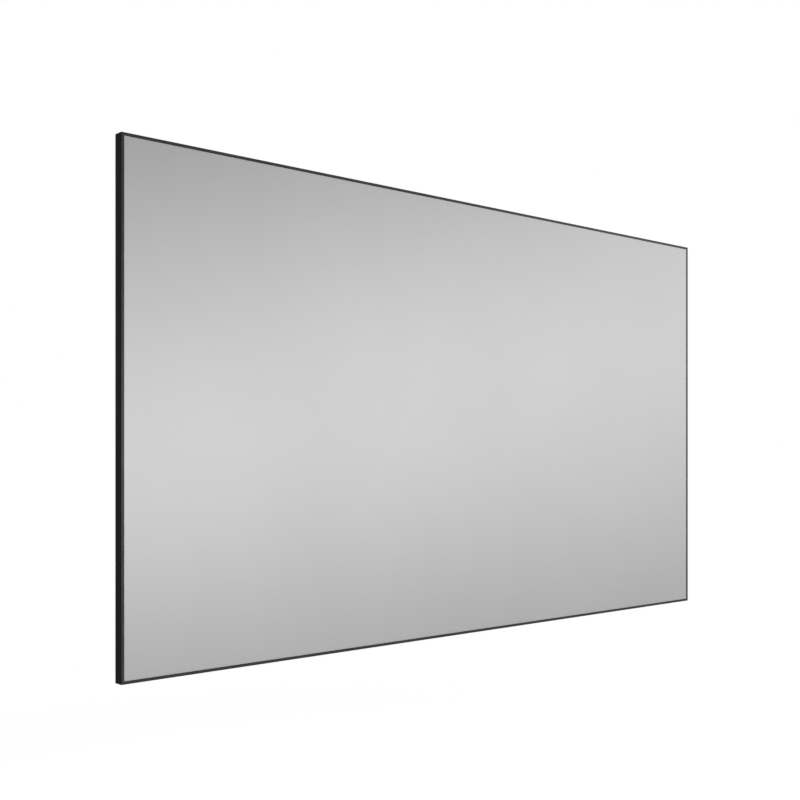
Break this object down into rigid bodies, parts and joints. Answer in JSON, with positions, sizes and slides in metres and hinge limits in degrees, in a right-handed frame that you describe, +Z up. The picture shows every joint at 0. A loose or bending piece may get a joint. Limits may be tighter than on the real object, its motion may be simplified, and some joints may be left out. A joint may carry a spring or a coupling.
{
  "type": "fixed-frame projector screen",
  "caption": "Wide flat projection screen: grey fabric sprung over a mitred aluminium frame, with a thin clipped bezel, support bars and wall hangers.",
  "frame": {"origin": "middle of the centre wall hanger's back face, on the wall plane", "axes": "+X to the viewer's right along the screen's width, +Y into the wall, +Z up; the picture faces -Y"},
  "size_m": [2.229, 0.036, 1.2604],
  "materials": {
    "screen_fabric": "matt grey coated screen fabric with a fine even grain",
    "bezel_aluminium": "satin black anodised, drawn along its length",
    "beam_aluminium": "matt black anodised extrusion",
    "plate_steel": "zinc-plated steel plate",
    "spring_steel": "bright zinc-plated rod and spring wire",
    "bar_aluminium": "mill-finished aluminium tube",
    "shoe_plastic": "black moulded nylon, fine texture",
    "hanger_steel": "folded zinc-plated steel sheet",
    "bumper_rubber": "black matt rubber",
    "screw_steel": "black oxide screw"
  },
  "bodies": {
    "root": {"screen_fabric": "screen_fabric", "bezel_top_left": "bezel_aluminium", "bezel_top_right": "bezel_aluminium", "bezel_bottom_left": "bezel_aluminium", "bezel_bottom_right": "bezel_aluminium", "bezel_left": "bezel_aluminium", "bezel_right": "bezel_aluminium", "beam_top_left": "beam_aluminium", "beam_top_right": "beam_aluminium", "beam_bottom_left": "beam_aluminium", "beam_bottom_right": "beam_aluminium", "beam_left": "beam_aluminium", "beam_right": "beam_aluminium", "elbow_top_left": "plate_steel", "elbow_top_right": "plate_steel", "elbow_bottom_left": "plate_steel", "elbow_bottom_right": "plate_steel", "splice_top": "plate_steel", "splice_bottom": "plate_steel", "tension_rod_top_left": "spring_steel", "tension_rod_top_right": "spring_steel", "tension_rod_bottom_left": "spring_steel", "tension_rod_bottom_right": "spring_steel", "tension_rod_left": "spring_steel", "tension_rod_right": "spring_steel", "support_bar_left": "bar_aluminium", "support_bar_right": "bar_aluminium", "bar_shoe_top_left": "shoe_plastic", "bar_shoe_top_right": "shoe_plastic", "bar_shoe_bottom_left": "shoe_plastic", "bar_shoe_bottom_right": "shoe_plastic", "wall_hanger_left": "hanger_steel", "wall_hanger_centre": "hanger_steel", "wall_hanger_right": "hanger_steel", "wall_bumper_left": "bumper_rubber", "wall_bumper_right": "bumper_rubber", "elbow_screw_top_left_1": "screw_steel", "elbow_screw_top_left_2": "screw_steel", "elbow_screw_top_left_3": "screw_steel", "elbow_screw_top_left_4": "screw_steel", "elbow_screw_top_right_1": "screw_steel", "elbow_screw_top_right_2": "screw_steel", "elbow_screw_top_right_3": "screw_steel", "elbow_screw_top_right_4": "screw_steel", "elbow_screw_bottom_left_1": "screw_steel", "elbow_screw_bottom_left_2": "screw_steel", "elbow_screw_bottom_left_3": "screw_steel", "elbow_screw_bottom_left_4": "screw_steel", "elbow_screw_bottom_right_1": "screw_steel", "elbow_screw_bottom_right_2": "screw_steel", "elbow_screw_bottom_right_3": "screw_steel", "elbow_screw_bottom_right_4": "screw_steel", "splice_screw_top_1": "screw_steel", "splice_screw_top_2": "screw_steel", "splice_screw_top_3": "screw_steel", "splice_screw_top_4": "screw_steel", "splice_screw_bottom_1": "screw_steel", "splice_screw_bottom_2": "screw_steel", "splice_screw_bottom_3": "screw_steel", "splice_screw_bottom_4": "screw_steel"}
  },
  "joints": []
}
